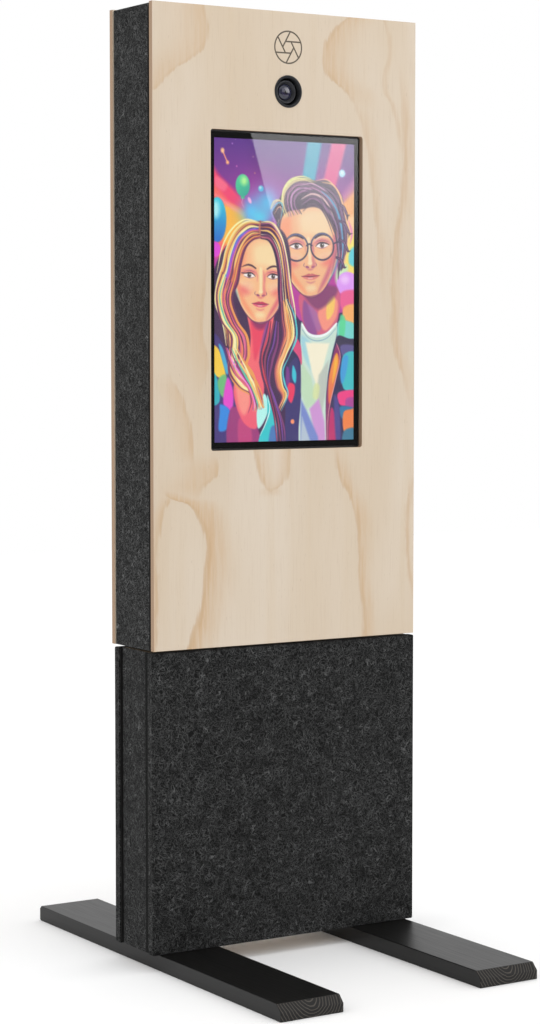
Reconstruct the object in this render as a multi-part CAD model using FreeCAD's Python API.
# Free-standing photo booth: a plywood and felt cabinet with an upright touch screen and a camera,
# on a felt-covered base that stands on two planks. Millimetres. +X is to the right of someone who
# faces the screen, +Y runs from the front to the back, +Z is up. The origin is on the floor, in the
# middle of the planks.

import FreeCAD, Part
import math
import os

V = FreeCAD.Vector
X_AXIS = V(1, 0, 0)
Y_AXIS = V(0, 1, 0)
Z_AXIS = V(0, 0, 1)

# ---------------------------------------------------------------- driving dimensions

# Planks
FOOT_LENGTH = 963.0
FOOT_WIDTH = 138.0
FOOT_THICKNESS = 32.0
FOOT_SPACING = 454.0
FOOT_REACH_FRONT = 438.5
FOOT_FRONT_CHAMFER = 14.0
FOOT_REAR_CHAMFER = 6.0
FOOT_EDGE_ROUND = 1.5

# Base
BASE_WIDTH = 626.0
BASE_DEPTH = 153.0
BASE_HEIGHT = 598.0
BASE_SETBACK = 2.5
SLAB_BOARD = 18.0
SLAB_FELT = 3.0
BASE_SIDE_INSET = 7.0
BASE_BOARD = 18.0
MODULE_GAP = 4.5

# Upper cabinet
PANEL_WIDTH = 620.0
PANEL_HEIGHT = 1256.0
CABINET_DEPTH = 170.0
PLY = 12.0
PLY_EASE = 0.6
FELT = 9.0
FELT_INSET = 1.5
FELT_EASE = 2.5
FRONT_SHADOW_GAP = 3.0
CARCASS_BOARD = 15.0
DOOR_GAP = 1.0
FELT_TO_DOOR = 1.2

# Screen
SCREEN_Z = 1338.3
CUTOUT_WIDTH = 358.8
CUTOUT_HEIGHT = 629.4
CUTOUT_RADIUS = 5.5
GLASS_GAP = 3.9
GLASS_SET_BACK = 8.3
GLASS = 3.0
GLASS_RADIUS = 3.0
PICTURE_WIDTH = 331.0
PICTURE_HEIGHT = 597.7
BORDER = 0.7
LCD = 14.0
CHASSIS_SHEET = 1.2
CHASSIS_MARGIN = 10.0
REAR_BOX_WIDTH = 260.0
REAR_BOX_HEIGHT = 400.0
REAR_BOX_DEPTH = 24.0
BRACKET_LENGTH = 520.0
BRACKET_FLANGE = 26.0
BRACKET_SHEET = 2.0
BRACKET_SCREWS = 4

# Camera
CAMERA_Z = 1734.0
RING_RADIUS = 32.0
RING_PROUD = 1.5
RING_TUBE_RADIUS = 30.0
RING_BORE_RADIUS = 27.0
RING_TUBE_PAST_PLY = 2.0
BARREL_RADIUS = 23.0
BARREL_SET_BACK = 7.0
LENS_RADIUS = 17.0
CAMERA_WIDTH = 72.0
CAMERA_HEIGHT = 52.0
CAMERA_LENGTH = 38.0
CAMERA_LEAD_X = 12.0
BARREL_LENGTH = 28.0
PIVOT_FROM_BODY_FRONT = 6.0
PIVOT_RADIUS = 2.5
YOKE_SHEET = 2.5
YOKE_SIDE_GAP = 4.0
YOKE_DROP = 40.0
KNOB_RADIUS = 9.0
KNOB_LENGTH = 10.0

# Engraved mark
MARK_Z = 1821.0
MARK_RADIUS = 33.0
MARK_LINE = 3.0
MARK_DEPTH = 0.8
MARK_HEXAGON = 13.0

# Fan
FAN_SIZE = 92.0
FAN_DEPTH = 25.0
FAN_BORE = 43.5
FAN_TO_DOOR = 6.0
FAN_BLADES = 7
FAN_TIP_GAP = 1.3
HUB_RADIUS = 18.0
SHAFT_RADIUS = 2.0
FAN_SHEET = 1.5

# Equipment
SHELF_Z = 850.0
SHELF_BOARD = 12.0
SHELF_DEPTH = 116.0
PC_WIDTH = 200.0
PC_DEPTH = 90.0
PC_HEIGHT = 45.0
PC_X = -50.0
PC_GROOVES = 9
PC_GROOVE_PITCH = 16.0
SUPPLY_LENGTH = 180.0
SUPPLY_DEPTH = 80.0
SUPPLY_HEIGHT = 42.0
SUPPLY_X = 110.0

# Hinges
HINGE_LENGTH = 70.0
HINGE_FROM_END = 150.0
KNUCKLES = 5
KNUCKLE_RADIUS = 3.0
HINGE_PIN_RADIUS = 1.5
LEAF = 1.4
LEAF_WIDTH = 26.0
LEAF_SPLIT = 0.4
HINGE_SCREW_RADIUS = 1.6
FRAME_SCREW_LENGTH = 17.0
DOOR_SCREW_LENGTH = 9.5

# Lock and catches
LOCK_FROM_BOARD = 24.0
LOCK_RADIUS = 9.5
PLUG_RADIUS = 6.0
TONGUE_LENGTH = 20.0
TONGUE_WIDTH = 12.0
TONGUE = 2.5
LOCK_DEPTH = 26.0
STRIKE_SHEET = 1.5
STRIKE_HEIGHT = 28.0
MAGNET_LENGTH = 40.0
MAGNET_WIDTH = 12.0
MAGNET_DEPTH = 14.0
CATCH_PLATE = 0.8

# Door vents
VENT_SLOTS = 11
VENT_WIDTH = 5.0
VENT_HEIGHT = 70.0
VENT_PITCH = 12.0
LOWER_VENT_Z = 760.0

# Fixings between the modules and under the base
BOLT_RADIUS = 4.0
MODULE_BOLT_X = 220.0
BOLT_ROW_FRONT = 0.0
BOLT_ROW_BACK = 68.0
KNOB_HEAD_RADIUS = 16.0
KNOB_HEAD_HEIGHT = 16.0
SPACER_RADIUS = 14.0
FOOT_BOLT_SPREAD = 35.0
FOOT_HEAD_RADIUS = 8.0
FOOT_HEAD_HEIGHT = 5.0
FOOT_COUNTERBORE = 10.0
NUT_BARREL_RADIUS = 5.5
NUT_FLANGE_RADIUS = 11.0
NUT_FLANGE = 1.5

# Inlet in the back of the base
INLET_X = 230.0
INLET_Z = 140.0
INLET_WIDTH = 84.0
INLET_HEIGHT = 44.0
INLET_FLANGE = 2.0
INLET_BODY_WIDTH = 70.0
INLET_BODY_HEIGHT = 32.0
INLET_BODY_DEPTH = 18.0
SOCKET_DEPTH = 15.0
ROCKER_WIDTH = 13.0
ROCKER_HEIGHT = 20.0
ROCKER_PIN_RADIUS = 1.2
ROCKER_ANGLE = 12.0

# Leads and their clips
MAINS_LEAD_RADIUS = 3.5
SIGNAL_LEAD_RADIUS = 2.4
DC_LEAD_RADIUS = 1.8
LEAD_STAND_OFF = 19.0
RISER_FROM_BOLTS = 20.0
CAMERA_LEAD_ROOM = 28.0
NOTCH_MARGIN = 18.0
LEAD_PITCH = 4.0
LEAD_HOLE_RADIUS = 9.0
CLIP_WIDTH = 12.0

# Clearances
FIT = 0.05
RUNNING = 0.05
SLIP = 0.3

# ---------------------------------------------------------------- places that follow

FOOT_FRONT = -FOOT_LENGTH / 2
FRONT = FOOT_FRONT + FOOT_REACH_FRONT
PLY_BACK = FRONT + PLY
REAR = FRONT + CABINET_DEPTH
DOOR_FACE = REAR - PLY
CARCASS_BACK = DOOR_FACE - DOOR_GAP
BASE_Z = FOOT_THICKNESS
BASE_TOP = BASE_Z + BASE_HEIGHT
BASE_FRONT = FRONT + BASE_SETBACK
BASE_BACK = BASE_FRONT + BASE_DEPTH
SLAB = SLAB_BOARD + SLAB_FELT
CORE_FRONT = BASE_FRONT + SLAB
CORE_BACK = BASE_BACK - SLAB
CORE_OUT = BASE_WIDTH / 2 - BASE_SIDE_INSET
CORE_BOARD_OUT = CORE_OUT - SLAB_FELT
CORE_IN = CORE_BOARD_OUT - BASE_BOARD
LEAD_X = CORE_IN - LEAD_STAND_OFF
RISER_Y = BOLT_ROW_BACK - RISER_FROM_BOLTS
CABINET_Z = BASE_TOP + MODULE_GAP
CABINET_TOP = CABINET_Z + PANEL_HEIGHT
FELT_OUT = PANEL_WIDTH / 2 - FELT_INSET
BOARD_OUT = FELT_OUT - FELT
BOARD_IN = BOARD_OUT - CARCASS_BOARD
FELT_TOP_Z = CABINET_TOP - FELT_INSET
TOP_BOARD_Z = FELT_TOP_Z - FELT
TOP_BOARD_UNDER = TOP_BOARD_Z - CARCASS_BOARD
FLOOR_BOARD_TOP = CABINET_Z + CARCASS_BOARD
FELT_FRONT = PLY_BACK + FRONT_SHADOW_GAP
FELT_BACK = DOOR_FACE - FELT_TO_DOOR
HINGE_X = PANEL_WIDTH / 2
HINGE_Y = DOOR_FACE - DOOR_GAP / 2
GLASS_FACE = FRONT + GLASS_SET_BACK
BORDER_FACE = GLASS_FACE + GLASS
LCD_FACE = BORDER_FACE + BORDER
LCD_BACK = LCD_FACE + LCD
GLASS_WIDTH = CUTOUT_WIDTH - 2 * GLASS_GAP
GLASS_HEIGHT = CUTOUT_HEIGHT - 2 * GLASS_GAP
CHASSIS_WIDTH = CUTOUT_WIDTH + 2 * CHASSIS_MARGIN
CHASSIS_HEIGHT = CUTOUT_HEIGHT + 2 * CHASSIS_MARGIN
CHASSIS_BACK = LCD_BACK + CHASSIS_SHEET
REAR_BOX_BACK = CHASSIS_BACK + REAR_BOX_DEPTH
BARREL_FACE = FRONT + BARREL_SET_BACK
CAMERA_FACE = BARREL_FACE + BARREL_LENGTH
CAMERA_BACK = CAMERA_FACE + CAMERA_LENGTH
PIVOT_Y = CAMERA_FACE + PIVOT_FROM_BODY_FRONT
CAMERA_LEAD_Y = CAMERA_BACK + CAMERA_LEAD_ROOM
YOKE_IN = CAMERA_WIDTH / 2 + YOKE_SIDE_GAP
FAN_BACK = DOOR_FACE - FAN_TO_DOOR
FAN_FACE = FAN_BACK - FAN_DEPTH
FAN_Z = TOP_BOARD_UNDER - FAN_SHEET - FAN_SIZE / 2 - 2
LOCK_X = -BOARD_IN + LOCK_FROM_BOARD
LOCK_Z = CABINET_Z + PANEL_HEIGHT / 2
LOCK_INNER = REAR - LOCK_DEPTH
SHELF_TOP = SHELF_Z + SHELF_BOARD
SHELF_BACK = PLY_BACK + SHELF_DEPTH
PC_BACK = SHELF_BACK - 10
PC_FRONT = PC_BACK - PC_DEPTH
SUPPLY_FRONT = PLY_BACK + 25
UPPER_VENT_Z = FAN_Z


# ---------------------------------------------------------------- helpers


def block(x0, x1, y0, y1, z0, z1):
    """A box between two corners."""
    return Part.makeBox(x1 - x0, y1 - y0, z1 - z0, V(x0, y0, z0))


def centred(x, z, width, height, y0, y1):
    """A box centred on a point of the front, from one depth to another."""
    return block(x - width / 2, x + width / 2, y0, y1, z - height / 2, z + height / 2)


def straight_edges(shape, axis):
    """The straight edges of a shape that run along one axis."""
    found = []
    for edge in shape.Edges:
        if isinstance(edge.Curve, Part.Line):
            run = edge.Vertexes[-1].Point.sub(edge.Vertexes[0].Point)
            if abs(run.dot(axis)) > 0.999 * run.Length:
                found.append(edge)
    return found


def face_edges(shape, axis, place):
    """The edges that lie in one plane across an axis."""
    found = []
    for edge in shape.Edges:
        ends = [edge.valueAt(edge.FirstParameter), edge.valueAt(edge.LastParameter)]
        ends.append(edge.valueAt((edge.FirstParameter + edge.LastParameter) / 2))
        if all(abs(point.dot(axis) - place) < 1e-4 for point in ends):
            found.append(edge)
    return found


def rounded(x, z, width, height, radius, y0, y1):
    """A box like centred(), with its four corners rounded."""
    shape = centred(x, z, width, height, y0, y1)
    return shape.makeFillet(radius, straight_edges(shape, Y_AXIS))


def disc(radius, start, axis, length):
    """A cylinder from a point along an axis."""
    return Part.makeCylinder(radius, length, start, axis)


def turned(profile, centre_x, centre_z):
    """A solid turned about a line along +Y, from (radius, y) points."""
    points = [V(centre_x + radius, y, centre_z) for radius, y in profile]
    face = Part.Face(Part.makePolygon(points + points[:1]))
    return face.revolve(V(centre_x, 0, centre_z), Y_AXIS, 360)


def countersunk(start, axis, radius, head_radius, head, length):
    """A screw with its flat head at start and its shank along the axis."""
    cone = Part.makeCone(head_radius, radius, head, start, axis)
    return cone.fuse(disc(radius, start, axis, length)).removeSplitter()


def capped(start, axis, head_radius, head, radius, length):
    """A bolt: a round head at start, and its shank on from the head."""
    shank_start = start + axis * head
    return disc(head_radius, start, axis, head).fuse(disc(radius, shank_start, axis, length))


def tube(points, radii, radius):
    """A lead: straight runs joined by tangent arcs, one radius for each inner point."""
    edges = []
    start = points[0]
    for before, corner, after, bend in zip(points, points[1:], points[2:], radii):
        back = (before - corner).normalize()
        onward = (after - corner).normalize()
        half = (math.pi - back.getAngle(onward)) / 2
        reach = bend * math.tan(half)
        entry = corner + back * reach
        leave = corner + onward * reach
        inward = (back + onward).normalize()
        middle = corner + inward * (bend / math.cos(half) - bend)
        edges.append(Part.LineSegment(start, entry).toShape())
        edges.append(Part.Arc(entry, middle, leave).toShape())
        start = leave
    edges.append(Part.LineSegment(start, points[-1]).toShape())
    path = Part.Wire(edges)
    ring = Part.Wire([Part.Circle(points[0], points[1] - points[0], radius).toShape()])
    solid = path.makePipeShell([ring], True, True)
    share = solid.Volume / (math.pi * radius**2 * path.Length)
    print("lead length %.0f, volume share %.4f, radii %s" % (path.Length, share, radii))
    return solid


def export(name, *solids):
    """Write one node; several solids go in it as separate solids."""
    shape = solids[0] if len(solids) == 1 else Part.makeCompound(list(solids))
    shape.exportStep("parts/%s.step" % name)


# ---------------------------------------------------------------- planks and base


def foot_plank(side):
    """A plank with bevelled ends, bored from below for its four bolts."""
    x = side * FOOT_SPACING / 2
    front = FOOT_FRONT
    back = FOOT_FRONT + FOOT_LENGTH
    low_bevel = FOOT_REAR_CHAMFER / 2
    outline = [
        V(0, front, 0),
        V(0, front, FOOT_THICKNESS - FOOT_FRONT_CHAMFER),
        V(0, front + FOOT_FRONT_CHAMFER, FOOT_THICKNESS),
        V(0, back - FOOT_REAR_CHAMFER, FOOT_THICKNESS),
        V(0, back, FOOT_THICKNESS - FOOT_REAR_CHAMFER),
        V(0, back, low_bevel),
        V(0, back - low_bevel, 0),
    ]
    side_face = Part.Face(Part.makePolygon(outline + outline[:1]))
    side_face.translate(V(x - FOOT_WIDTH / 2, 0, 0))
    plank = side_face.extrude(V(FOOT_WIDTH, 0, 0))
    long_edges = [edge for edge in straight_edges(plank, Y_AXIS) if edge.Length > FOOT_LENGTH / 2]
    plank = plank.makeFillet(FOOT_EDGE_ROUND, long_edges)
    for point in foot_bolt_points(side):
        plank = plank.cut(disc(BOLT_RADIUS + FIT, point, Z_AXIS, FOOT_THICKNESS))
        plank = plank.cut(disc(FOOT_HEAD_RADIUS + SLIP, point, Z_AXIS, FOOT_COUNTERBORE))
    return plank


def foot_bolt_points(side):
    """Where the bolts of one plank stand on the floor plane."""
    centre = side * FOOT_SPACING / 2
    columns = (centre - FOOT_BOLT_SPREAD, centre + FOOT_BOLT_SPREAD)
    return [V(x, y, 0) for x in columns for y in (BOLT_ROW_FRONT, BOLT_ROW_BACK)]


def all_foot_bolt_points():
    return foot_bolt_points(-1) + foot_bolt_points(1)


def foot_bolt(point):
    """A socket-head bolt sunk in the plank, up into its nut in the base."""
    start = point + Z_AXIS * (FOOT_COUNTERBORE - FOOT_HEAD_HEIGHT)
    length = BASE_Z + BASE_BOARD - FOOT_COUNTERBORE
    return capped(start, Z_AXIS, FOOT_HEAD_RADIUS, FOOT_HEAD_HEIGHT, BOLT_RADIUS, length)


def t_nut(mouth, axis):
    """A flanged threaded nut: its flange at mouth, its barrel along the axis."""
    flange = disc(NUT_FLANGE_RADIUS, mouth - axis * NUT_FLANGE, axis, NUT_FLANGE)
    barrel = disc(NUT_BARREL_RADIUS, mouth, axis, BASE_BOARD / 2)
    bore = disc(BOLT_RADIUS + FIT, mouth - axis * NUT_FLANGE, axis, BASE_BOARD)
    return flange.fuse(barrel).cut(bore)


def module_bolt_points():
    """Where cabinet and base are bolted together, on the base's top."""
    rows = (BOLT_ROW_FRONT, BOLT_ROW_BACK)
    return [V(x, y, BASE_TOP) for x in (-MODULE_BOLT_X, MODULE_BOLT_X) for y in rows]


def module_bolt(point):
    """A hand screw: a lobed knob inside the cabinet and a shank down into the base."""
    head_z = FLOOR_BOARD_TOP
    head = disc(KNOB_HEAD_RADIUS, V(point.x, point.y, head_z), Z_AXIS, KNOB_HEAD_HEIGHT)
    for step in range(6):
        turn = math.radians(60 * step)
        reach = KNOB_HEAD_RADIUS + 3
        notch = V(point.x + reach * math.cos(turn), point.y + reach * math.sin(turn), head_z)
        head = head.cut(disc(6, notch, Z_AXIS, KNOB_HEAD_HEIGHT))
    foot = BASE_TOP - BASE_BOARD
    return head.fuse(disc(BOLT_RADIUS, V(point.x, point.y, foot), Z_AXIS, head_z - foot))


def slab_board(y0, y1):
    """The board inside a felt-covered slab."""
    half = BASE_WIDTH / 2 - SLAB_FELT
    return block(-half, half, y0, y1, BASE_Z + SLAB_FELT, BASE_TOP - SLAB_FELT)


def slab_felt(y0, y1, board):
    """The felt wrapped over a slab's face and all four of its edges."""
    half = BASE_WIDTH / 2
    cover = block(-half, half, y0, y1, BASE_Z, BASE_TOP)
    cover = cover.makeFillet(FELT_EASE, straight_edges(cover, Y_AXIS))
    return cover.cut(board)


def build_base():
    front_board = slab_board(BASE_FRONT + SLAB_FELT, CORE_FRONT)
    export("base_front_board", front_board)
    export("base_front_felt", slab_felt(BASE_FRONT, CORE_FRONT, front_board))

    body_gap = SLIP
    inlet_hole = centred(
        INLET_X,
        INLET_Z,
        INLET_BODY_WIDTH + 2 * body_gap,
        INLET_BODY_HEIGHT + 2 * body_gap,
        CORE_BACK - 1,
        BASE_BACK + 1,
    )
    rear_board = slab_board(CORE_BACK, BASE_BACK - SLAB_FELT)
    export("base_rear_board", rear_board.cut(inlet_hole))
    export("base_rear_felt", slab_felt(CORE_BACK, BASE_BACK, rear_board).cut(inlet_hole))

    sides = []
    felts = []
    for side in (-1, 1):
        inner, outer = sorted((side * CORE_IN, side * CORE_BOARD_OUT))
        sides.append(block(inner, outer, CORE_FRONT, CORE_BACK, BASE_Z, BASE_TOP))
        inner, outer = sorted((side * CORE_BOARD_OUT, side * CORE_OUT))
        felts.append(block(inner, outer, CORE_FRONT, CORE_BACK, BASE_Z, BASE_TOP))
    export("base_side_boards", *sides)
    export("base_side_felts", *felts)

    top = block(-CORE_IN, CORE_IN, CORE_FRONT, CORE_BACK, BASE_TOP - BASE_BOARD, BASE_TOP)
    bottom = block(-CORE_IN, CORE_IN, CORE_FRONT, CORE_BACK, BASE_Z, BASE_Z + BASE_BOARD)
    nuts = []
    for point in module_bolt_points():
        top = top.cut(disc(BOLT_RADIUS + FIT, point, -Z_AXIS, BASE_BOARD))
        mouth = point - Z_AXIS * BASE_BOARD
        top = top.cut(disc(NUT_BARREL_RADIUS + FIT, mouth, Z_AXIS, BASE_BOARD / 2 + FIT))
        nuts.append(t_nut(mouth, Z_AXIS))
    for point in all_foot_bolt_points():
        bottom = bottom.cut(disc(BOLT_RADIUS + FIT, point, Z_AXIS, BASE_Z + BASE_BOARD))
        mouth = point + Z_AXIS * (BASE_Z + BASE_BOARD)
        bottom = bottom.cut(disc(NUT_BARREL_RADIUS + FIT, mouth, -Z_AXIS, BASE_BOARD / 2 + FIT))
        nuts.append(t_nut(mouth, -Z_AXIS))
    top = top.cut(lead_hole(BASE_TOP - BASE_BOARD, BASE_BOARD))
    export("base_top_board", top)
    export("base_bottom_board", bottom)
    export("t_nuts", *nuts)

    export("foot_plank_left", foot_plank(-1))
    export("foot_plank_right", foot_plank(1))
    export("foot_bolts", *[foot_bolt(point) for point in all_foot_bolt_points()])
    export("module_bolts", *[module_bolt(point) for point in module_bolt_points()])
    spacers = []
    for point in module_bolt_points():
        ring = disc(SPACER_RADIUS, point, Z_AXIS, MODULE_GAP)
        spacers.append(ring.cut(disc(BOLT_RADIUS + FIT, point, Z_AXIS, MODULE_GAP)))
    export("module_spacers", *spacers)


# ---------------------------------------------------------------- upper carcass


def lead_hole(z, height):
    """The hole that the mains lead passes up through."""
    return disc(LEAD_HOLE_RADIUS, V(LEAD_X, RISER_Y, z), Z_AXIS, height)


def hinge_heights():
    """The lower ends of the three hinges."""
    low = CABINET_Z + HINGE_FROM_END
    high = CABINET_TOP - HINGE_FROM_END - HINGE_LENGTH
    return [low, (low + high) / 2, high]


def knuckle_room():
    """Space for the hinge barrels at the corner of the cabinet."""
    rooms = []
    for z in hinge_heights():
        start = V(HINGE_X, HINGE_Y, z - SLIP)
        rooms.append(disc(KNUCKLE_RADIUS + SLIP, start, Z_AXIS, HINGE_LENGTH + 2 * SLIP))
    return Part.makeCompound(rooms)


def leaf_plate(z, y0, y1, margin):
    """A hinge leaf's flat plate, or its mortise when margin isn't zero."""
    x0 = HINGE_X - LEAF_WIDTH - margin
    return block(x0, HINGE_X, y0, y1, z - margin, z + HINGE_LENGTH + margin)


def frame_leaf_span():
    return HINGE_Y - LEAF_SPLIT / 2 - LEAF, HINGE_Y - LEAF_SPLIT / 2


def door_leaf_span():
    return HINGE_Y + LEAF_SPLIT / 2, HINGE_Y + LEAF_SPLIT / 2 + LEAF


def build_carcass():
    side_top = TOP_BOARD_UNDER
    left = block(-BOARD_OUT, -BOARD_IN, PLY_BACK, CARCASS_BACK, CABINET_Z, side_top)
    right = block(BOARD_IN, BOARD_OUT, PLY_BACK, CARCASS_BACK, CABINET_Z, side_top)
    felt_side_top = TOP_BOARD_Z
    felt_left = block(-FELT_OUT, -BOARD_OUT, FELT_FRONT, FELT_BACK, CABINET_Z, felt_side_top)
    felt_right = block(BOARD_OUT, FELT_OUT, FELT_FRONT, FELT_BACK, CABINET_Z, felt_side_top)
    y0, y1 = frame_leaf_span()
    for z in hinge_heights():
        mortise = leaf_plate(z, y0 - FIT, CARCASS_BACK + 1, FIT)
        right = right.cut(mortise)
        felt_right = felt_right.cut(mortise)
        for point in hinge_screw_points(z, y1):
            right = right.cut(disc(HINGE_SCREW_RADIUS + FIT, point, -Y_AXIS, FRAME_SCREW_LENGTH + 1))
    felt_right = felt_right.cut(knuckle_room())
    export("side_board_left", left)
    export("side_board_right", right)
    export("felt_left", felt_left)
    export("felt_right", felt_right)

    top = block(-BOARD_OUT, BOARD_OUT, PLY_BACK, CARCASS_BACK, TOP_BOARD_UNDER, TOP_BOARD_Z)
    export("top_board", top)
    felt_top = block(-FELT_OUT, FELT_OUT, FELT_FRONT, FELT_BACK, TOP_BOARD_Z, FELT_TOP_Z)
    upper_edges = []
    for edge in straight_edges(felt_top, Y_AXIS):
        if edge.Vertexes[0].Point.z > (TOP_BOARD_Z + FELT_TOP_Z) / 2:
            upper_edges.append(edge)
    export("felt_top", felt_top.makeFillet(FELT_EASE, upper_edges))

    floor = block(-BOARD_IN, BOARD_IN, PLY_BACK, CARCASS_BACK, CABINET_Z, FLOOR_BOARD_TOP)
    for point in module_bolt_points():
        floor = floor.cut(disc(BOLT_RADIUS + FIT, point, Z_AXIS, CARCASS_BOARD + MODULE_GAP))
    export("bottom_board", floor.cut(lead_hole(CABINET_Z, CARCASS_BOARD)))

    shelf = block(-BOARD_IN, BOARD_IN, PLY_BACK, SHELF_BACK, SHELF_Z, SHELF_TOP)
    notch_x = LEAD_X - 2 * CLIP_WIDTH
    notch_y = CAMERA_LEAD_Y - NOTCH_MARGIN
    notch = block(notch_x, BOARD_IN, notch_y, SHELF_BACK, SHELF_Z, SHELF_TOP)
    export("equipment_shelf", shelf.cut(notch))


def mark_grooves():
    """An iris of six blades in a ring, as tools that cut into the panel's face."""
    start = V(0, FRONT, MARK_Z)
    inner = MARK_RADIUS - MARK_LINE
    ring = disc(MARK_RADIUS, start, Y_AXIS, MARK_DEPTH).cut(disc(inner, start, Y_AXIS, MARK_DEPTH))
    grooves = [ring]
    side = MARK_HEXAGON
    half_side = side / 2
    apothem = side * math.sqrt(3) / 2
    middle = MARK_RADIUS - MARK_LINE / 2
    reach = math.sqrt(middle**2 - apothem**2)
    for step in range(6):
        line = block(-half_side, reach, FRONT, FRONT + MARK_DEPTH, -MARK_LINE / 2, MARK_LINE / 2)
        line.translate(V(0, 0, MARK_Z + apothem))
        line.rotate(start, Y_AXIS, 60 * step)
        grooves.append(line)
    whole = grooves[0]
    return whole.multiFuse(grooves[1:])


def build_front_panel():
    panel = centred(0, CABINET_Z + PANEL_HEIGHT / 2, PANEL_WIDTH, PANEL_HEIGHT, FRONT, PLY_BACK)
    panel = panel.makeFillet(PLY_EASE, face_edges(panel, Y_AXIS, FRONT))
    cutout = rounded(0, SCREEN_Z, CUTOUT_WIDTH, CUTOUT_HEIGHT, CUTOUT_RADIUS, FRONT - 1, PLY_BACK + 1)
    panel = panel.cut(cutout)
    panel = panel.cut(disc(RING_TUBE_RADIUS + FIT, V(0, FRONT - 1, CAMERA_Z), Y_AXIS, PLY + 2))
    panel = panel.cut(mark_grooves())
    for point in ply_screw_points():
        panel = panel.cut(disc(HINGE_SCREW_RADIUS + FIT, point, -Y_AXIS, PLY - 3))
    return panel


# ---------------------------------------------------------------- screen


def bracket_heights():
    """The heights of the screws along a display bracket."""
    first = SCREEN_Z - BRACKET_LENGTH / 2 + 30
    step = (BRACKET_LENGTH - 60) / (BRACKET_SCREWS - 1)
    return [first + step * number for number in range(BRACKET_SCREWS)]


def ply_screw_points():
    """Where the display brackets are screwed to the back of the panel."""
    x = CHASSIS_WIDTH / 2 + BRACKET_SHEET + (BRACKET_FLANGE - BRACKET_SHEET) / 2
    return [V(side * x, PLY_BACK, z) for side in (-1, 1) for z in bracket_heights()]


def display_bracket(side):
    """An angle: one flange on the panel's back, the other on the chassis."""
    low = SCREEN_Z - BRACKET_LENGTH / 2
    high = SCREEN_Z + BRACKET_LENGTH / 2
    inner = CHASSIS_WIDTH / 2
    outer = inner + BRACKET_FLANGE
    web = block(inner, inner + BRACKET_SHEET, PLY_BACK, CHASSIS_BACK, low, high)
    flange = block(inner, outer, PLY_BACK, PLY_BACK + BRACKET_SHEET, low, high)
    angle = web.fuse(flange).removeSplitter()
    if side < 0:
        angle = angle.mirror(V(0, 0, 0), X_AXIS)
    for point in ply_screw_points():
        angle = angle.cut(disc(HINGE_SCREW_RADIUS + FIT, point, Y_AXIS, BRACKET_SHEET))
    for point in chassis_screw_points():
        start = point + X_AXIS * -30
        angle = angle.cut(disc(HINGE_SCREW_RADIUS + FIT, start, X_AXIS, 60))
    return angle


def chassis_screw_points():
    """Where the brackets are screwed to the chassis, on its side walls."""
    x = CHASSIS_WIDTH / 2
    y = (PLY_BACK + BRACKET_SHEET + CHASSIS_BACK) / 2 + 1
    return [V(side * x, y, z + 20) for side in (-1, 1) for z in bracket_heights()]


def build_screen():
    glass = rounded(0, SCREEN_Z, GLASS_WIDTH, GLASS_HEIGHT, GLASS_RADIUS, GLASS_FACE, BORDER_FACE)
    export("touch_glass", glass)
    border = rounded(0, SCREEN_Z, GLASS_WIDTH, GLASS_HEIGHT, GLASS_RADIUS, BORDER_FACE, LCD_FACE)
    window = centred(0, SCREEN_Z, PICTURE_WIDTH, PICTURE_HEIGHT, BORDER_FACE, LCD_FACE)
    export("glass_border", border.cut(window))
    export("lcd_panel", centred(0, SCREEN_Z, GLASS_WIDTH, GLASS_HEIGHT, LCD_FACE, LCD_BACK))

    tray = centred(0, SCREEN_Z, CHASSIS_WIDTH, CHASSIS_HEIGHT, PLY_BACK, CHASSIS_BACK)
    tray = tray.makeFillet(3, straight_edges(tray, Y_AXIS))
    rear_box = centred(0, SCREEN_Z, REAR_BOX_WIDTH, REAR_BOX_HEIGHT, LCD_BACK, REAR_BOX_BACK)
    rear_box = rear_box.makeFillet(6, straight_edges(rear_box, Y_AXIS))
    chassis = tray.fuse(rear_box)
    pocket_width = GLASS_WIDTH + 2 * SLIP
    pocket_height = GLASS_HEIGHT + 2 * SLIP
    chassis = chassis.cut(centred(0, SCREEN_Z, pocket_width, pocket_height, PLY_BACK, LCD_BACK))
    hollow_width = REAR_BOX_WIDTH - 2 * CHASSIS_SHEET
    hollow_height = REAR_BOX_HEIGHT - 2 * CHASSIS_SHEET
    hollow_back = REAR_BOX_BACK - CHASSIS_SHEET
    chassis = chassis.cut(centred(0, SCREEN_Z, hollow_width, hollow_height, LCD_BACK, hollow_back))
    for number in range(12):
        slot_x = (number - 5.5) * 16
        slot_z = SCREEN_Z + REAR_BOX_HEIGHT / 2 - 50
        chassis = chassis.cut(centred(slot_x, slot_z, 6, 50, hollow_back - 1, REAR_BOX_BACK + 1))
    for point in chassis_screw_points():
        inward = X_AXIS * (-1 if point.x > 0 else 1)
        chassis = chassis.cut(disc(HINGE_SCREW_RADIUS + FIT, point, inward, 7))
    export("display_chassis", chassis)
    export("display_brackets", display_bracket(-1), display_bracket(1))

    screws = []
    for point in ply_screw_points():
        head = point + Y_AXIS * (BRACKET_SHEET + 2)
        screws.append(capped(head, -Y_AXIS, 3.2, 2, HINGE_SCREW_RADIUS, PLY - 4 + BRACKET_SHEET))
    for point in chassis_screw_points():
        inward = X_AXIS * (-1 if point.x > 0 else 1)
        head = point - inward * (BRACKET_SHEET + 2)
        screws.append(capped(head, inward, 3.2, 2, HINGE_SCREW_RADIUS, 6 + BRACKET_SHEET))
    export("display_screws", *screws)


# ---------------------------------------------------------------- camera


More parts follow.
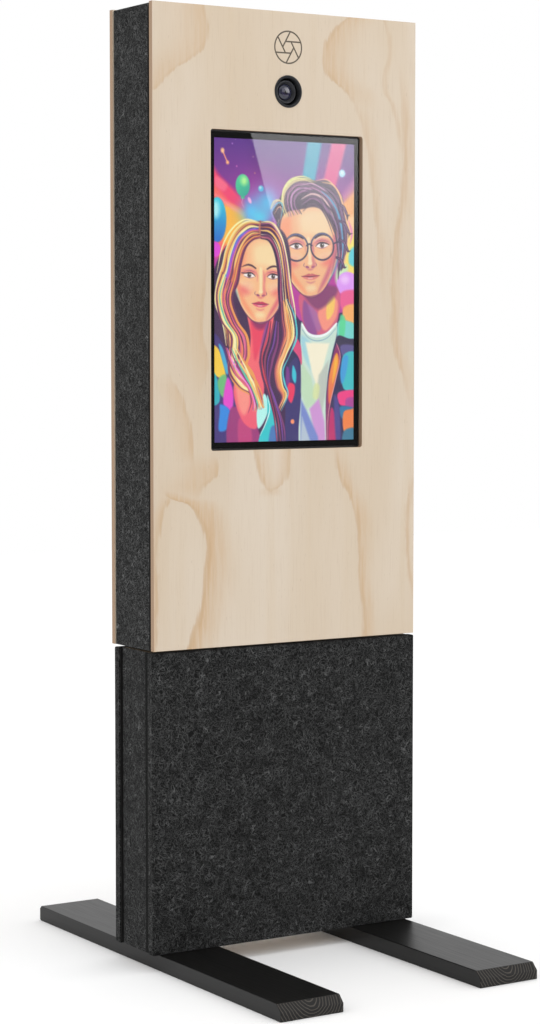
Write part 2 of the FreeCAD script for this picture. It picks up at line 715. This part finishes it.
def build_camera():
    flange_face = FRONT - RING_PROUD
    tube_back = PLY_BACK + RING_TUBE_PAST_PLY
    ring = turned(
        [
            (RING_BORE_RADIUS + 1, flange_face),
            (RING_RADIUS - 1, flange_face),
            (RING_RADIUS, flange_face + 1),
            (RING_RADIUS, FRONT),
            (RING_TUBE_RADIUS, FRONT),
            (RING_TUBE_RADIUS, tube_back),
            (RING_BORE_RADIUS, tube_back),
            (RING_BORE_RADIUS, flange_face + 1),
        ],
        0,
        CAMERA_Z,
    )
    export("camera_ring", ring)

    mouth = LENS_RADIUS + 2
    seat = BARREL_FACE + 6
    barrel = turned(
        [
            (mouth + 1, BARREL_FACE),
            (BARREL_RADIUS - 1, BARREL_FACE),
            (BARREL_RADIUS, BARREL_FACE + 1),
            (BARREL_RADIUS, BARREL_FACE + 9),
            (BARREL_RADIUS - 1, BARREL_FACE + 10),
            (BARREL_RADIUS - 1, CAMERA_FACE),
            (0, CAMERA_FACE),
            (0, seat + 4),
            (LENS_RADIUS, seat + 4),
            (LENS_RADIUS, seat),
        ],
        0,
        CAMERA_Z,
    )
    export("lens_barrel", barrel)

    dome_radius = 30.0
    dome_rise = dome_radius - math.sqrt(dome_radius**2 - LENS_RADIUS**2)
    rim = LENS_RADIUS - FIT
    glass = disc(rim, V(0, seat - dome_rise, CAMERA_Z), Y_AXIS, dome_rise + 4)
    ball = Part.makeSphere(dome_radius, V(0, seat - dome_rise + dome_radius, CAMERA_Z))
    export("lens_glass", glass.common(ball))

    body = centred(0, CAMERA_Z, CAMERA_WIDTH, CAMERA_HEIGHT, CAMERA_FACE, CAMERA_BACK)
    body = body.makeFillet(4, straight_edges(body, Y_AXIS))
    half = CAMERA_WIDTH / 2
    bore_start = V(-half, PIVOT_Y, CAMERA_Z)
    body = body.cut(disc(PIVOT_RADIUS + RUNNING, bore_start, X_AXIS, 10))
    body = body.cut(disc(PIVOT_RADIUS + RUNNING, V(half, PIVOT_Y, CAMERA_Z), -X_AXIS, 10))
    socket = centred(CAMERA_LEAD_X, CAMERA_Z, 12, 14, CAMERA_BACK - 8, CAMERA_BACK)
    export("camera_body", body.cut(socket))

    low = CAMERA_Z - YOKE_DROP
    outer = YOKE_IN + YOKE_SHEET
    plate_back = PIVOT_Y + 14
    yoke = block(-outer, outer, PLY_BACK, plate_back, low, low + YOKE_SHEET)
    yoke = yoke.fuse(block(-outer, outer, PLY_BACK, PLY_BACK + YOKE_SHEET, low - 16, low))
    for side in (-1, 1):
        inner, far = sorted((side * YOKE_IN, side * outer))
        arm = block(inner, far, PIVOT_Y - 10, PIVOT_Y + 10, low, CAMERA_Z + 10)
        yoke = yoke.fuse(arm)
    bore = disc(PIVOT_RADIUS + RUNNING, V(-outer, PIVOT_Y, CAMERA_Z), X_AXIS, 2 * outer)
    export("camera_yoke", yoke.removeSplitter().cut(bore))

    pin_head = V(-outer - 2, PIVOT_Y, CAMERA_Z)
    pin_length = YOKE_SHEET + YOKE_SIDE_GAP + 9
    export("camera_pivot_pin", capped(pin_head, X_AXIS, 5, 2, PIVOT_RADIUS, pin_length))
    knob = disc(KNOB_RADIUS, V(outer + SLIP, PIVOT_Y, CAMERA_Z), X_AXIS, KNOB_LENGTH)
    for step in range(12):
        turn = math.radians(30 * step)
        y = PIVOT_Y + (KNOB_RADIUS + 0.6) * math.cos(turn)
        z = CAMERA_Z + (KNOB_RADIUS + 0.6) * math.sin(turn)
        knob = knob.cut(disc(1.4, V(outer + SLIP, y, z), X_AXIS, KNOB_LENGTH))
    shank_start = V(half - 9, PIVOT_Y, CAMERA_Z)
    shank = disc(PIVOT_RADIUS, shank_start, X_AXIS, outer + SLIP - half + 9)
    export("camera_knob", knob.fuse(shank))


# ---------------------------------------------------------------- fan


def build_fan():
    frame = rounded(0, FAN_Z, FAN_SIZE, FAN_SIZE, 5, FAN_FACE, FAN_BACK)
    frame = frame.cut(disc(FAN_BORE, V(0, FAN_FACE, FAN_Z), Y_AXIS, FAN_DEPTH))
    strut = 3.0
    mount = disc(HUB_RADIUS, V(0, FAN_BACK - strut, FAN_Z), Y_AXIS, strut)
    for step in range(4):
        arm = block(0, FAN_BORE + 2, FAN_BACK - strut, FAN_BACK, FAN_Z - 2, FAN_Z + 2)
        arm.rotate(V(0, 0, FAN_Z), Y_AXIS, 45 + 90 * step)
        mount = mount.fuse(arm)
    shaft = disc(SHAFT_RADIUS, V(0, FAN_FACE + 4, FAN_Z), Y_AXIS, FAN_DEPTH - 4)
    frame = frame.fuse(mount).fuse(shaft).removeSplitter()
    hole = FAN_SIZE / 2 - 5
    for x in (-hole, hole):
        for z in (-hole, hole):
            frame = frame.cut(disc(2.2, V(x, FAN_FACE, FAN_Z + z), Y_AXIS, FAN_DEPTH))
    export("fan_frame", frame)

    hub_back = FAN_BACK - strut - 1
    hub = disc(HUB_RADIUS, V(0, FAN_FACE + 1, FAN_Z), Y_AXIS, hub_back - FAN_FACE - 1)
    tip = FAN_BORE - FAN_TIP_GAP
    sweep = disc(tip, V(0, FAN_FACE + 2, FAN_Z), Y_AXIS, hub_back - FAN_FACE - 2)
    sweep = sweep.cut(disc(HUB_RADIUS - 1, V(0, FAN_FACE, FAN_Z), Y_AXIS, FAN_DEPTH))
    middle = (FAN_FACE + hub_back) / 2
    rotor = hub
    for step in range(FAN_BLADES):
        blade = block(-15, 15, middle - 0.8, middle + 0.8, 0, FAN_BORE + 5)
        blade.rotate(V(0, middle, 0), Z_AXIS, 40)
        blade.translate(V(0, 0, FAN_Z))
        blade.rotate(V(0, 0, FAN_Z), Y_AXIS, 360.0 / FAN_BLADES * step)
        rotor = rotor.fuse(blade.common(sweep))
    rotor = rotor.cut(disc(SHAFT_RADIUS + RUNNING, V(0, FAN_FACE + 3, FAN_Z), Y_AXIS, FAN_DEPTH))
    export("fan_rotor", rotor)

    half = FAN_SIZE / 2
    wall = block(-half, half, FAN_FACE - FAN_SHEET, FAN_FACE, FAN_Z - half, TOP_BOARD_UNDER)
    flange = block(-half, half, FAN_FACE - 20, FAN_FACE, TOP_BOARD_UNDER - FAN_SHEET, TOP_BOARD_UNDER)
    start = V(0, FAN_FACE - FAN_SHEET, FAN_Z)
    export("fan_bracket", wall.fuse(flange).cut(disc(FAN_BORE, start, Y_AXIS, FAN_SHEET)))


# ---------------------------------------------------------------- equipment


def build_equipment():
    half = PC_WIDTH / 2
    case = block(PC_X - half, PC_X + half, PC_FRONT, PC_BACK, SHELF_TOP, SHELF_TOP + PC_HEIGHT)
    case = case.makeFillet(4, straight_edges(case, Z_AXIS))
    case_top = SHELF_TOP + PC_HEIGHT
    for number in range(PC_GROOVES):
        x = PC_X + (number - (PC_GROOVES - 1) / 2) * PC_GROOVE_PITCH
        case = case.cut(block(x - 2, x + 2, PC_FRONT + 25, PC_BACK - 20, case_top - 2, case_top))
    export("pc_case", case)

    low = FLOOR_BOARD_TOP
    half = SUPPLY_LENGTH / 2
    back = SUPPLY_FRONT + SUPPLY_DEPTH
    supply = block(SUPPLY_X - half, SUPPLY_X + half, SUPPLY_FRONT, back, low, low + SUPPLY_HEIGHT)
    export("power_supply", supply.makeFillet(3, straight_edges(supply, Z_AXIS)))


# ---------------------------------------------------------------- door, hinges, lock, catches


def hinge_screw_points(z, y):
    """Where a leaf is screwed on, in the face at depth y."""
    x = (BOARD_IN + BOARD_OUT) / 2
    return [V(x, y, z + HINGE_LENGTH * share) for share in (0.18, 0.5, 0.82)]


def hinge_parts(z):
    """The two leaves and the pin of one hinge."""
    leaves = []
    knuckle = HINGE_LENGTH / KNUCKLES
    for own, span in ((0, frame_leaf_span()), (1, door_leaf_span())):
        leaf = leaf_plate(z, span[0], span[1], 0)
        for number in range(KNUCKLES):
            low = z + knuckle * number
            if number % 2 == own:
                start = V(HINGE_X, HINGE_Y, low + RUNNING)
                leaf = leaf.fuse(disc(KNUCKLE_RADIUS, start, Z_AXIS, knuckle - 2 * RUNNING))
            else:
                start = V(HINGE_X, HINGE_Y, low - RUNNING)
                room = disc(KNUCKLE_RADIUS + SLIP, start, Z_AXIS, knuckle + 2 * RUNNING)
                leaf = leaf.cut(room)
        bore = disc(HINGE_PIN_RADIUS + RUNNING, V(HINGE_X, HINGE_Y, z), Z_AXIS, HINGE_LENGTH)
        face = span[1] if own == 0 else span[0]
        axis = -Y_AXIS if own == 0 else Y_AXIS
        leaf = leaf.cut(bore)
        for point in hinge_screw_points(z, face):
            head = HINGE_SCREW_RADIUS * 2
            leaf = leaf.cut(countersunk(point, axis, HINGE_SCREW_RADIUS + FIT, head + FIT, LEAF, LEAF))
        leaves.append(leaf)
    pin = disc(HINGE_PIN_RADIUS, V(HINGE_X, HINGE_Y, z), Z_AXIS, HINGE_LENGTH)
    return leaves[0], leaves[1], pin


def hinge_screws(z, face, axis, length):
    """The screws of one leaf."""
    head = HINGE_SCREW_RADIUS * 2
    points = hinge_screw_points(z, face)
    return [countersunk(point, axis, HINGE_SCREW_RADIUS, head, LEAF, length) for point in points]


def vent_slots(z):
    """A row of upright slots through the door."""
    slots = []
    for number in range(VENT_SLOTS):
        x = (number - (VENT_SLOTS - 1) / 2) * VENT_PITCH
        radius = VENT_WIDTH / 2 - 0.1
        slots.append(rounded(x, z, VENT_WIDTH, VENT_HEIGHT, radius, DOOR_FACE - 1, REAR + 1))
    return slots


def build_door():
    door = centred(0, CABINET_Z + PANEL_HEIGHT / 2, PANEL_WIDTH, PANEL_HEIGHT, DOOR_FACE, REAR)
    door = door.makeFillet(PLY_EASE, face_edges(door, Y_AXIS, REAR))
    for slot in vent_slots(UPPER_VENT_Z) + vent_slots(LOWER_VENT_Z):
        door = door.cut(slot)
    door = door.cut(knuckle_room())
    inner_face, outer_face = door_leaf_span()
    for z in hinge_heights():
        door = door.cut(leaf_plate(z, DOOR_FACE - 1, outer_face + FIT, FIT))
        for point in hinge_screw_points(z, inner_face):
            door = door.cut(disc(HINGE_SCREW_RADIUS + FIT, point, Y_AXIS, DOOR_SCREW_LENGTH + 0.5))
    centre = V(LOCK_X, DOOR_FACE - 1, LOCK_Z)
    export("rear_door", door.cut(disc(LOCK_RADIUS + FIT, centre, Y_AXIS, PLY + 2)))

    parts = [hinge_parts(z) for z in hinge_heights()]
    export("hinge_frame_leaves", *[part[0] for part in parts])
    export("hinge_door_leaves", *[part[1] for part in parts])
    export("hinge_pins", *[part[2] for part in parts])
    frame_face = frame_leaf_span()[1]
    into_frame = []
    into_door = []
    for z in hinge_heights():
        into_frame += hinge_screws(z, frame_face, -Y_AXIS, FRAME_SCREW_LENGTH)
        into_door += hinge_screws(z, inner_face, Y_AXIS, DOOR_SCREW_LENGTH)
    export("hinge_frame_screws", *into_frame)
    export("hinge_door_screws", *into_door)


def build_lock():
    tongue_back = LOCK_INNER - 1.5
    tongue_front = tongue_back - TONGUE
    plug_end = tongue_front - 2
    barrel = turned(
        [
            (PLUG_RADIUS + RUNNING, REAR + 2),
            (LOCK_RADIUS + 2, REAR + 2),
            (LOCK_RADIUS + 2.5, REAR + 1.5),
            (LOCK_RADIUS + 2.5, REAR),
            (LOCK_RADIUS, REAR),
            (LOCK_RADIUS, LOCK_INNER),
            (PLUG_RADIUS + RUNNING, LOCK_INNER),
        ],
        LOCK_X,
        LOCK_Z,
    )
    nut_corners = []
    corner = LOCK_RADIUS + 5
    for step in range(7):
        turn = math.radians(60 * step)
        x = LOCK_X + corner * math.cos(turn)
        nut_corners.append(V(x, DOOR_FACE - 4, LOCK_Z + corner * math.sin(turn)))
    nut = Part.Face(Part.makePolygon(nut_corners)).extrude(V(0, 4, 0))
    nut = nut.cut(disc(LOCK_RADIUS + FIT, V(LOCK_X, DOOR_FACE - 4, LOCK_Z), Y_AXIS, 4))
    export("lock_body", barrel, nut)

    end_radius = PLUG_RADIUS - 2
    plug = disc(PLUG_RADIUS, V(LOCK_X, tongue_back, LOCK_Z), Y_AXIS, REAR + 2.2 - tongue_back)
    plug = plug.fuse(disc(end_radius, V(LOCK_X, plug_end, LOCK_Z), Y_AXIS, tongue_back - plug_end))
    export("lock_plug", plug.cut(centred(LOCK_X, LOCK_Z, 1.6, 8, REAR - 8, REAR + 3)))

    half = TONGUE_WIDTH / 2
    tip = LOCK_Z - TONGUE_LENGTH
    tongue = block(LOCK_X - half, LOCK_X + half, tongue_front, tongue_back, tip, LOCK_Z)
    tip_edges = [e for e in straight_edges(tongue, Y_AXIS) if e.Vertexes[0].Point.z < tip + 1]
    tongue = tongue.makeFillet(2, tip_edges)
    centre = V(LOCK_X, tongue_front, LOCK_Z)
    tongue = tongue.fuse(disc(half, centre, Y_AXIS, TONGUE)).removeSplitter()
    export("lock_tongue", tongue.cut(disc(end_radius + FIT, centre, Y_AXIS, TONGUE)))

    strike_face = tongue_back + 0.5
    strike_reach = LOCK_X - LOCK_RADIUS - 2
    strike_back = strike_face + STRIKE_SHEET
    low = LOCK_Z - STRIKE_HEIGHT / 2
    high = LOCK_Z + STRIKE_HEIGHT / 2
    flange = block(-BOARD_IN, -BOARD_IN + STRIKE_SHEET, strike_face - 16, strike_back, low, high)
    hook = block(-BOARD_IN, strike_reach, strike_face, strike_back, low, high)
    export("lock_strike", flange.fuse(hook).removeSplitter())

    magnets = []
    plates = []
    for z in (CABINET_Z + HINGE_FROM_END, CABINET_TOP - HINGE_FROM_END):
        low = z - MAGNET_LENGTH / 2
        high = z + MAGNET_LENGTH / 2
        inner = -BOARD_IN + MAGNET_WIDTH
        magnets.append(block(-BOARD_IN, inner, CARCASS_BACK - MAGNET_DEPTH, CARCASS_BACK, low, high))
        plates.append(block(-BOARD_IN, inner, DOOR_FACE - CATCH_PLATE, DOOR_FACE, low, high))
    export("door_magnets", *magnets)
    export("catch_plates", *plates)


# ---------------------------------------------------------------- mains inlet


def build_inlet():
    face = BASE_BACK + INLET_FLANGE
    inner = face - INLET_BODY_DEPTH
    body = rounded(INLET_X, INLET_Z, INLET_WIDTH, INLET_HEIGHT, 4, BASE_BACK, face)
    body = body.fuse(centred(INLET_X, INLET_Z, INLET_BODY_WIDTH, INLET_BODY_HEIGHT, inner, BASE_BACK))
    socket_x = INLET_X - INLET_BODY_WIDTH / 2 + 18
    switch_x = INLET_X + INLET_BODY_WIDTH / 2 - 15
    socket = rounded(socket_x, INLET_Z, 27, 20, 3, face - SOCKET_DEPTH, face)
    body = body.cut(socket)
    for x, z in ((-7, -2), (0, 2), (7, -2)):
        pin = centred(socket_x + x, INLET_Z + z, 2, 4, face - SOCKET_DEPTH, face - 4)
        body = body.fuse(pin)
    room = centred(switch_x, INLET_Z, ROCKER_WIDTH + 2 * SLIP, ROCKER_HEIGHT + 1.6, face - 11, face)
    body = body.cut(room)
    pivot_y = face - 4
    pivot_reach = ROCKER_WIDTH / 2 + SLIP + 1
    pivot_start = V(switch_x - pivot_reach, pivot_y, INLET_Z)
    body = body.cut(disc(ROCKER_PIN_RADIUS + RUNNING, pivot_start, X_AXIS, 2 * pivot_reach))
    export("inlet_module", body.removeSplitter())

    half = ROCKER_HEIGHT / 2
    lift = math.tan(math.radians(ROCKER_ANGLE)) * half
    outline = [
        V(switch_x, pivot_y - 3, INLET_Z - half + 3),
        V(switch_x, pivot_y + 2, INLET_Z - half),
        V(switch_x, face + lift, INLET_Z - half + 0.8),
        V(switch_x, face, INLET_Z),
        V(switch_x, face, INLET_Z + half - 0.6),
        V(switch_x, pivot_y - 1, INLET_Z + half - 1.5),
        V(switch_x, pivot_y - 3, INLET_Z + half - 5),
    ]
    side_face = Part.Face(Part.makePolygon(outline + outline[:1]))
    side_face.translate(V(-ROCKER_WIDTH / 2, 0, 0))
    rocker = side_face.extrude(V(ROCKER_WIDTH, 0, 0))
    pin_reach = pivot_reach - 0.2
    pin_start = V(switch_x - pin_reach, pivot_y, INLET_Z)
    rocker = rocker.fuse(disc(ROCKER_PIN_RADIUS, pin_start, X_AXIS, 2 * pin_reach))
    export("switch_rocker", rocker.removeSplitter())


# ---------------------------------------------------------------- leads


def clip(x_wall, lead_x, y, z, radius, margin):
    """A block clip on a side board, bored for the upright lead that it holds."""
    x0, x1 = sorted((x_wall, lead_x - margin))
    half = CLIP_WIDTH / 2
    holder = block(x0, x1, y - half, y + half, z, z + CLIP_WIDTH)
    return holder.cut(disc(radius + FIT, V(lead_x, y, z), Z_AXIS, CLIP_WIDTH))


def build_leads():
    inlet_inner = BASE_BACK + INLET_FLANGE - INLET_BODY_DEPTH
    supply_z = FLOOR_BOARD_TOP + SUPPLY_HEIGHT / 2
    supply_end = SUPPLY_X + SUPPLY_LENGTH / 2
    supply_y = SUPPLY_FRONT + SUPPLY_DEPTH / 2
    mains = [
        V(INLET_X, inlet_inner, INLET_Z),
        V(INLET_X, RISER_Y + 6, INLET_Z),
        V(LEAD_X, RISER_Y, INLET_Z + 90),
        V(LEAD_X, RISER_Y, supply_z + 22),
        V(supply_end + 25, supply_y, supply_z),
        V(supply_end, supply_y, supply_z),
    ]
    export("lead_mains", tube(mains, [18, 60, 12, 12], MAINS_LEAD_RADIUS))

    pc_z = SHELF_TOP + PC_HEIGHT / 2
    pc_left = PC_X - PC_WIDTH / 2
    pc_right = PC_X + PC_WIDTH / 2
    box_under = SCREEN_Z - REAR_BOX_HEIGHT / 2
    box_y = CHASSIS_BACK + REAR_BOX_DEPTH / 2
    back_run = PC_BACK + 20
    display = [
        V(PC_X + 40, PC_BACK, pc_z),
        V(PC_X + 40, back_run, pc_z),
        V(PC_X + 40, back_run, pc_z + 70),
        V(PC_X + 60, box_y, box_under - 90),
        V(PC_X + 60, box_y, box_under),
    ]
    signal = [tube(display, [14, 40, 40], SIGNAL_LEAD_RADIUS)]
    camera = [
        V(CAMERA_LEAD_X, CAMERA_BACK - 3, CAMERA_Z),
        V(CAMERA_LEAD_X, CAMERA_LEAD_Y, CAMERA_Z),
        V(LEAD_X, CAMERA_LEAD_Y, CAMERA_Z - 90),
        V(LEAD_X, CAMERA_LEAD_Y, pc_z + 70),
        V(pc_right + 30, CAMERA_LEAD_Y, pc_z),
        V(pc_right, CAMERA_LEAD_Y, pc_z),
    ]
    signal.append(tube(camera, [18, 50, 40, 14], SIGNAL_LEAD_RADIUS))
    export("leads_signal", *signal)

    fan_y = FAN_FACE + 6
    fan_x = LEAD_X + LEAD_PITCH
    fan = [
        V(FAN_SIZE / 2, fan_y, FAN_Z - 20),
        V(FAN_SIZE / 2 + 30, fan_y, FAN_Z - 20),
        V(fan_x, fan_y, FAN_Z - 90),
        V(fan_x, fan_y, supply_z + 90),
        V(supply_end + 30, supply_y + 20, supply_z + 12),
        V(supply_end, supply_y + 20, supply_z + 12),
    ]
    dc_leads = [tube(fan, [20, 50, 40, 14], DC_LEAD_RADIUS)]
    supply_start = SUPPLY_X - SUPPLY_LENGTH / 2
    dc_run = SHELF_BACK + 14
    computer = [
        V(supply_start, supply_y, supply_z),
        V(supply_start - 40, supply_y, supply_z),
        V(supply_start - 80, dc_run, supply_z + 60),
        V(supply_start - 80, dc_run, pc_z - 24),
        V(supply_start - 80, PC_BACK + 12, pc_z),
        V(supply_start - 80, PC_BACK, pc_z),
    ]
    dc_leads.append(tube(computer, [20, 40, 12, 5], DC_LEAD_RADIUS))
    export("leads_dc", *dc_leads)

    clips = []
    for z in (INLET_Z + 160, INLET_Z + 360):
        clips.append(clip(CORE_IN, LEAD_X, RISER_Y, z, MAINS_LEAD_RADIUS, 6))
    for z in (SHELF_TOP + 200, SCREEN_Z - 40, SCREEN_Z + 220):
        clips.append(clip(BOARD_IN, LEAD_X, CAMERA_LEAD_Y, z, SIGNAL_LEAD_RADIUS, 5))
        clips.append(clip(BOARD_IN, fan_x, fan_y, z, DC_LEAD_RADIUS, 5))
    export("lead_clips", *clips)


# ---------------------------------------------------------------- build

os.makedirs("parts", exist_ok=True)
export("front_panel", build_front_panel())
build_base()
build_carcass()
build_screen()
build_camera()
build_fan()
build_equipment()
build_door()
build_lock()
build_inlet()
build_leads()
